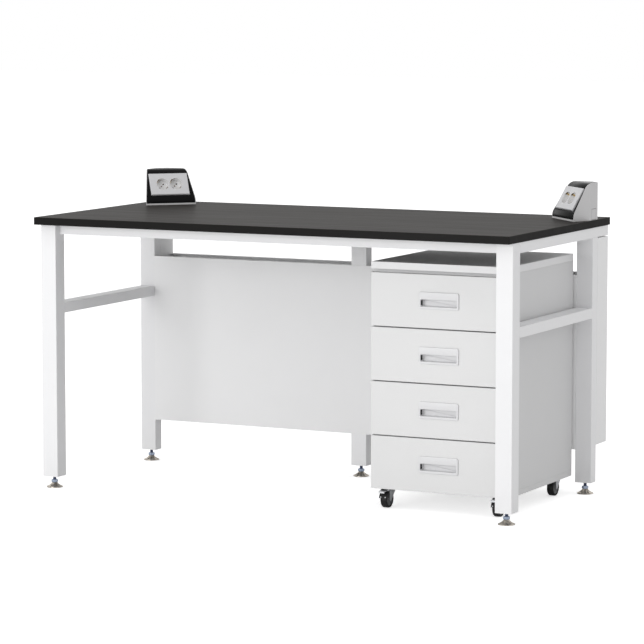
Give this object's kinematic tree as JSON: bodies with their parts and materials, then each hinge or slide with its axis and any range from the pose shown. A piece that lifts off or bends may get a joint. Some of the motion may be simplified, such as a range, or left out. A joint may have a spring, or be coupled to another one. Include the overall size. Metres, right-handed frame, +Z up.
{
  "type": "lab bench with corner socket boxes and mobile drawer pedestal",
  "caption": "Steel-framed laboratory bench with a black worktop, rear service chase, corner socket boxes, levelling feet and a drawer pedestal on casters",
  "frame": {"origin": "on the floor under the middle of the worktop", "axes": "+X to the right seen from the front, +Y to the rear, +Z up"},
  "size_m": [1.5, 0.75, 0.907],
  "materials": {
    "worktop_black": "satin black laminate",
    "frame_white": "white powder coat",
    "panel_white": "white powder coat on sheet",
    "zinc": "zinc plated",
    "foot_nickel": "nickel plated, with a blue zinc plated stud and hexagon",
    "box_white": "satin moulded plastic",
    "cover_black": "semi-gloss moulded plastic",
    "plate_silver": "silver satin plastic",
    "well_white": "moulded plastic",
    "contact_brass": "plain",
    "pedestal_white": "white powder coat",
    "front_white": "white powder coat",
    "drawer_steel": "light grey powder coat",
    "pull_grey": "satin moulded plastic",
    "fork_zinc": "zinc plated, with a black nylon brake hood on the front forks",
    "wheel_black": "moulded nylon tread"
  },
  "bodies": {
    "bench_frame": {"worktop": "worktop_black", "worktop_screws": "zinc", "leg_front_left": "frame_white", "leg_front_right": "frame_white", "leg_rear_left": "frame_white", "leg_rear_middle": "frame_white", "leg_rear_right": "frame_white", "side_rail_left": "frame_white", "side_rail_right": "frame_white", "crossbar_left": "frame_white", "crossbar_right": "frame_white", "front_rail": "frame_white", "rear_rail": "frame_white", "chase_end_post_left": "frame_white", "chase_end_post_right": "frame_white", "chase_front_panel": "panel_white", "chase_rear_cover": "panel_white", "chase_screws": "zinc", "leg_inserts": "zinc", "socket_housing_left": "box_white", "socket_cover_left": "cover_black", "socket_plate_left": "plate_silver", "socket_housing_right": "box_white", "socket_cover_right": "cover_black", "socket_plate_right": "plate_silver", "socket_wells": "well_white", "socket_contacts": "contact_brass"},
    "foot_front_left": {"levelling_foot_front_left": "foot_nickel"},
    "foot_front_right": {"levelling_foot_front_right": "foot_nickel"},
    "foot_rear_left": {"levelling_foot_rear_left": "foot_nickel"},
    "foot_rear_middle": {"levelling_foot_rear_middle": "foot_nickel"},
    "foot_rear_right": {"levelling_foot_rear_right": "foot_nickel"},
    "pedestal": {"pedestal_shell": "pedestal_white", "pedestal_top": "pedestal_white", "pedestal_base": "pedestal_white", "drawer_runners": "zinc", "caster_mounts": "zinc"},
    "drawer_1": {"drawer_box_1": "drawer_steel", "drawer_front_1": "front_white", "drawer_pull_1": "pull_grey"},
    "drawer_2": {"drawer_box_2": "drawer_steel", "drawer_front_2": "front_white", "drawer_pull_2": "pull_grey"},
    "drawer_3": {"drawer_box_3": "drawer_steel", "drawer_front_3": "front_white", "drawer_pull_3": "pull_grey"},
    "drawer_4": {"drawer_box_4": "drawer_steel", "drawer_front_4": "front_white", "drawer_pull_4": "pull_grey"},
    "fork_front_left": {"caster_fork_front_left": "fork_zinc"},
    "wheel_front_left": {"caster_wheel_front_left": "wheel_black"},
    "fork_front_right": {"caster_fork_front_right": "fork_zinc"},
    "wheel_front_right": {"caster_wheel_front_right": "wheel_black"},
    "fork_rear_left": {"caster_fork_rear_left": "fork_zinc"},
    "wheel_rear_left": {"caster_wheel_rear_left": "wheel_black"},
    "fork_rear_right": {"caster_fork_rear_right": "fork_zinc"},
    "wheel_rear_right": {"caster_wheel_rear_right": "wheel_black"},
    "brake_left": {"brake_pedal_left": "zinc"},
    "brake_right": {"brake_pedal_right": "zinc"}
  },
  "joints": [
    {"name": "foot_front_left_height", "type": "slide", "parent": "bench_frame", "child": "foot_front_left", "axis": [0, 0, -1], "range_m": [-0.01, 0.015]},
    {"name": "foot_front_right_height", "type": "slide", "parent": "bench_frame", "child": "foot_front_right", "axis": [0, 0, -1], "range_m": [-0.01, 0.015]},
    {"name": "foot_rear_left_height", "type": "slide", "parent": "bench_frame", "child": "foot_rear_left", "axis": [0, 0, -1], "range_m": [-0.01, 0.015]},
    {"name": "foot_rear_middle_height", "type": "slide", "parent": "bench_frame", "child": "foot_rear_middle", "axis": [0, 0, -1], "range_m": [-0.01, 0.015]},
    {"name": "foot_rear_right_height", "type": "slide", "parent": "bench_frame", "child": "foot_rear_right", "axis": [0, 0, -1], "range_m": [-0.01, 0.015]},
    {"name": "pedestal_roll_out", "type": "slide", "parent": "bench_frame", "child": "pedestal", "axis": [0, -1, 0], "range_m": [0, 0.45]},
    {"name": "drawer_1_slide", "type": "slide", "parent": "pedestal", "child": "drawer_1", "axis": [0, -1, 0], "range_m": [0, 0.3]},
    {"name": "drawer_2_slide", "type": "slide", "parent": "pedestal", "child": "drawer_2", "axis": [0, -1, 0], "range_m": [0, 0.3]},
    {"name": "drawer_3_slide", "type": "slide", "parent": "pedestal", "child": "drawer_3", "axis": [0, -1, 0], "range_m": [0, 0.3]},
    {"name": "drawer_4_slide", "type": "slide", "parent": "pedestal", "child": "drawer_4", "axis": [0, -1, 0], "range_m": [0, 0.3]},
    {"name": "caster_front_left_swivel", "type": "hinge", "parent": "pedestal", "child": "fork_front_left", "pos_m": [0.308, -0.187, 0.05245], "axis": [0, 0, 1], "continuous": true},
    {"name": "caster_front_left_spin", "type": "hinge", "parent": "fork_front_left", "child": "wheel_front_left", "pos_m": [0.308, -0.207, 0.025], "axis": [1, 0, 0], "continuous": true},
    {"name": "caster_front_right_swivel", "type": "hinge", "parent": "pedestal", "child": "fork_front_right", "pos_m": [0.652, -0.187, 0.05245], "axis": [0, 0, 1], "continuous": true},
    {"name": "caster_front_right_spin", "type": "hinge", "parent": "fork_front_right", "child": "wheel_front_right", "pos_m": [0.652, -0.207, 0.025], "axis": [1, 0, 0], "continuous": true},
    {"name": "caster_rear_left_swivel", "type": "hinge", "parent": "pedestal", "child": "fork_rear_left", "pos_m": [0.308, 0.212, 0.05245], "axis": [0, 0, 1], "continuous": true},
    {"name": "caster_rear_left_spin", "type": "hinge", "parent": "fork_rear_left", "child": "wheel_rear_left", "pos_m": [0.308, 0.192, 0.025], "axis": [1, 0, 0], "continuous": true},
    {"name": "caster_rear_right_swivel", "type": "hinge", "parent": "pedestal", "child": "fork_rear_right", "pos_m": [0.652, 0.212, 0.05245], "axis": [0, 0, 1], "continuous": true},
    {"name": "caster_rear_right_spin", "type": "hinge", "parent": "fork_rear_right", "child": "wheel_rear_right", "pos_m": [0.652, 0.192, 0.025], "axis": [1, 0, 0], "continuous": true},
    {"name": "brake_pedal_left_press", "type": "hinge", "parent": "fork_front_left", "child": "brake_left", "pos_m": [0.308, -0.223, 0.0514], "axis": [1, 0, 0], "range_deg": [-4, 14]},
    {"name": "brake_pedal_right_press", "type": "hinge", "parent": "fork_front_right", "child": "brake_right", "pos_m": [0.652, -0.223, 0.0514], "axis": [1, 0, 0], "range_deg": [-4, 14]}
  ]
}
